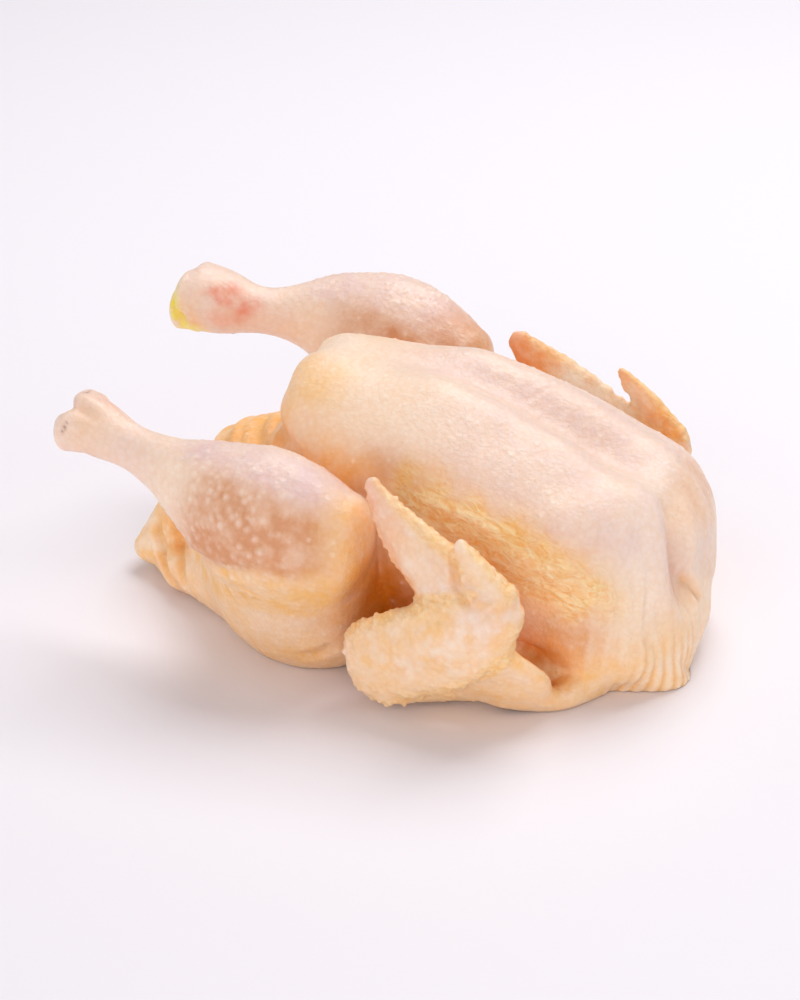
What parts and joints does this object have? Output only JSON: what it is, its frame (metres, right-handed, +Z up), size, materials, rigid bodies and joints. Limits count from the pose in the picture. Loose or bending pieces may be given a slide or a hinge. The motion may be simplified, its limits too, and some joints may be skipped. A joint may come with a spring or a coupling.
{
  "type": "whole raw chicken",
  "caption": "Whole raw chicken with skin on, plucked and drawn, lying on its back with spread legs and folded wings.",
  "frame": {"origin": "middle of the footprint, on the table", "axes": "+X towards the neck end, +Y towards the bird's right side, +Z up from the table"},
  "size_m": [0.254, 0.2078, 0.1077],
  "materials": {
    "skin": "moist raw skin"
  },
  "bodies": {
    "root": {"chicken": "skin"}
  },
  "joints": []
}
